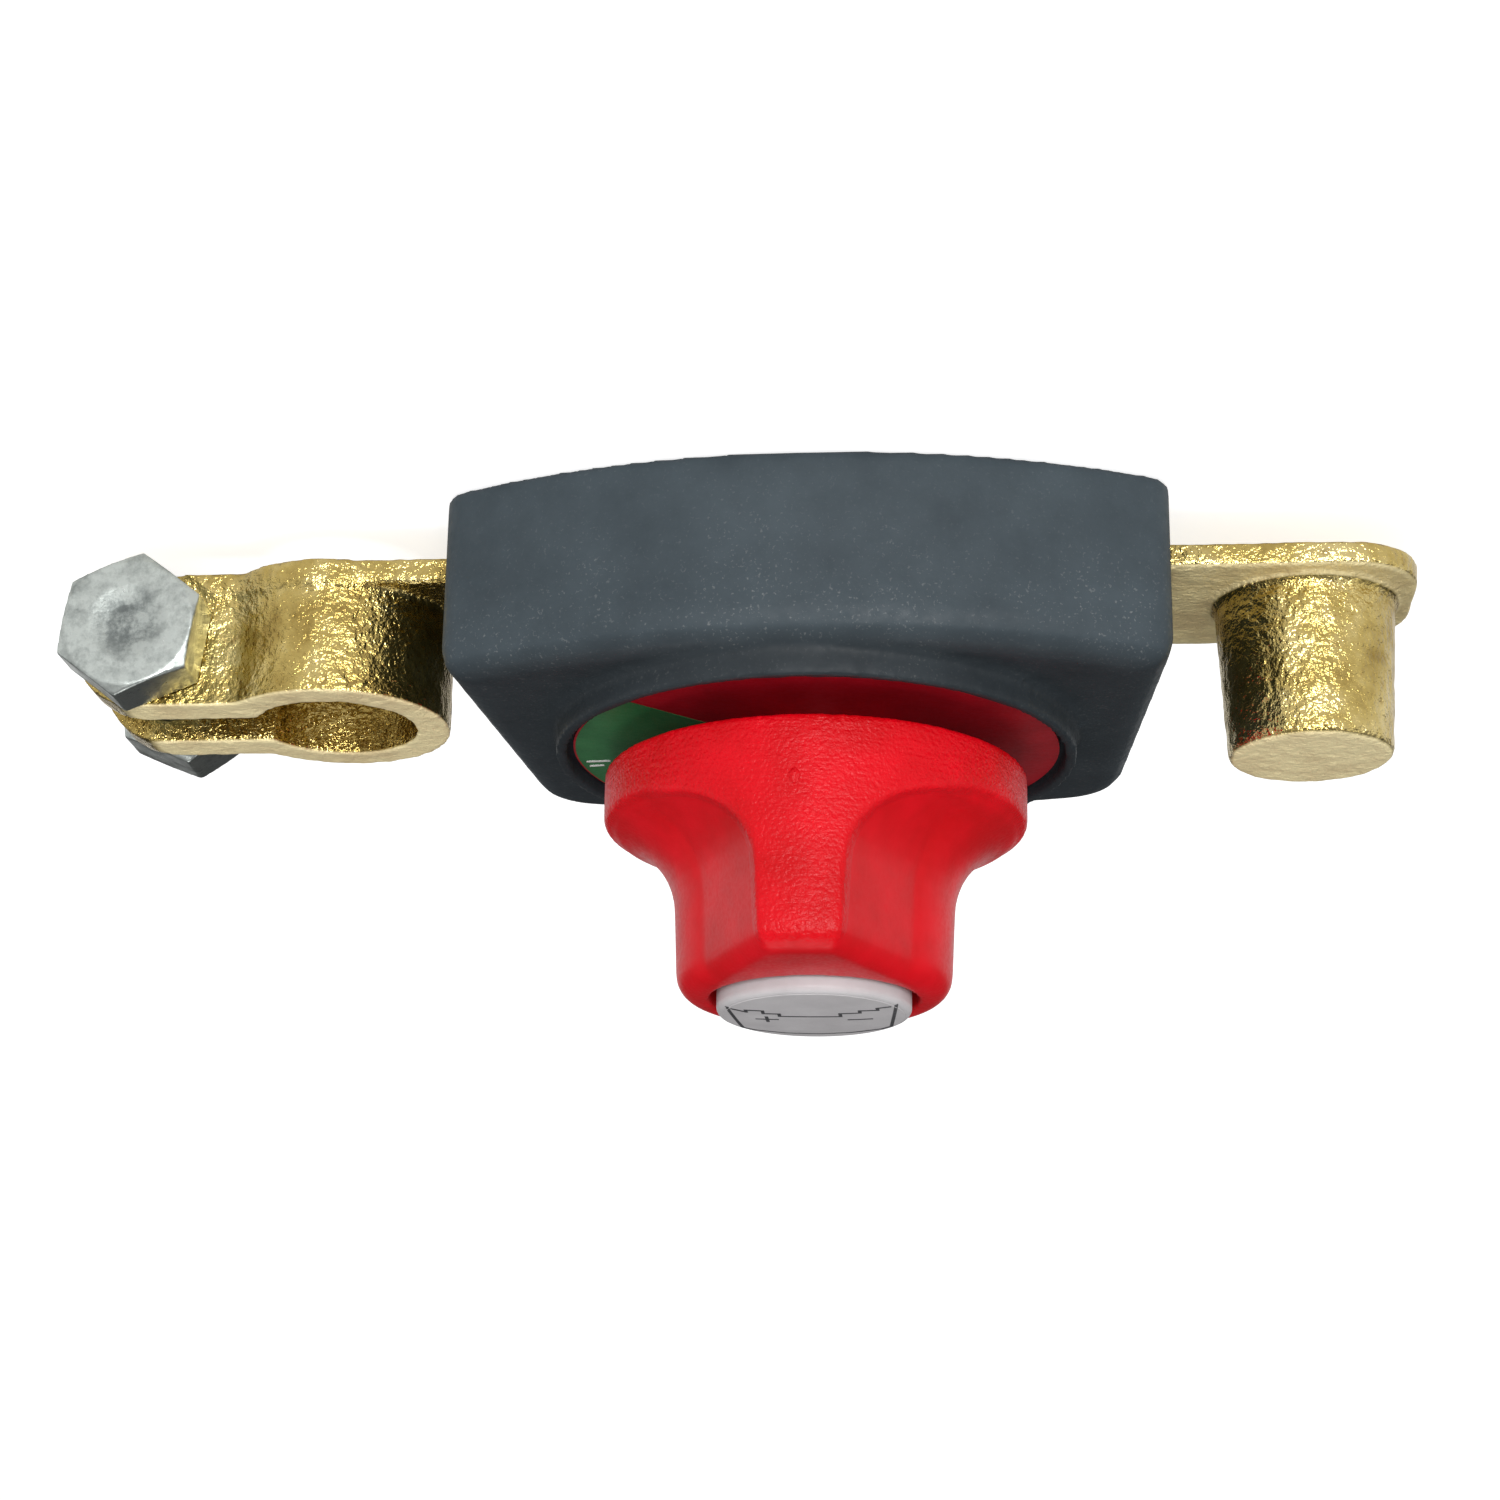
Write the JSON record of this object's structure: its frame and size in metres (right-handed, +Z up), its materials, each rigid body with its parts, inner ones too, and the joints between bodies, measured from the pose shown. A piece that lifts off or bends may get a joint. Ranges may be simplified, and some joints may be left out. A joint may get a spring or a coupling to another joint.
{
  "type": "battery terminal disconnect switch",
  "caption": "Rotary battery isolator with a post clamp on one side, a tapered post on the other and a red pointer knob between them.",
  "frame": {"origin": "on the turning axis of the knob, in the plane of the flat bottom", "axes": "+Z up along the knob axis, +X towards the clamp, -X towards the battery post, -Y towards the curved front wall and the pointer in its off position"},
  "size_m": [0.1318, 0.0544, 0.047],
  "materials": {
    "housing_plastic": "matte moulded, dark slate grey",
    "cover_plastic": "matte black",
    "dial_red": "printed red with a green quarter",
    "knob_red": "fine textured red",
    "cap_grey": "satin light grey",
    "white_plastic": "natural moulded",
    "seal_rubber": "black rubber",
    "cast_brass": "cast and tumbled brass",
    "contact_metal": "silver plated",
    "bridge_copper": "plain copper",
    "spring_steel": "plain spring steel",
    "zinc_steel": "zinc plated"
  },
  "bodies": {
    "case": {"housing": "housing_plastic", "dial_plate": "dial_red", "shaft_bushing": "white_plastic", "shaft_seal": "seal_rubber", "base_gasket": "seal_rubber", "base_cover": "cover_plastic", "cover_screw_1": "zinc_steel", "cover_screw_2": "zinc_steel", "cover_screw_3": "zinc_steel", "cover_screw_4": "zinc_steel", "clamp_terminal": "cast_brass", "post_terminal": "cast_brass", "clamp_contact": "contact_metal", "post_contact": "contact_metal", "clamp_bar_screw": "zinc_steel", "post_bar_screw": "zinc_steel", "detent_spring": "spring_steel"},
    "rotor": {"spindle": "spring_steel", "bridge_carrier": "white_plastic", "contact_spring": "spring_steel", "contact_bridge": "bridge_copper", "retaining_clip": "spring_steel", "knob": "knob_red", "knob_screw": "zinc_steel", "knob_cap": "cap_grey"},
    "bolt": {"clamp_bolt": "zinc_steel"},
    "nut": {"clamp_nut": "zinc_steel"}
  },
  "joints": [
    {"name": "knob_turn", "type": "hinge", "parent": "case", "child": "rotor", "pos_m": [0, 0, 0.02], "axis": [0, 0, 1], "range_deg": [0, 90], "deforming": ["detent_spring"]},
    {"name": "bolt_turn", "type": "hinge", "parent": "case", "child": "bolt", "pos_m": [0.0663, 0, 0.0101], "axis": [0, -1, 0], "range_deg": [0, 720]},
    {"name": "nut_slide", "type": "slide", "parent": "case", "child": "nut", "axis": [0, 1, 0], "range_m": [0, 0.0025]}
  ],
  "couplings": [
    {"joint": "nut_slide", "follows": "bolt_turn", "m_per_rad": 0.00019894}
  ]
}
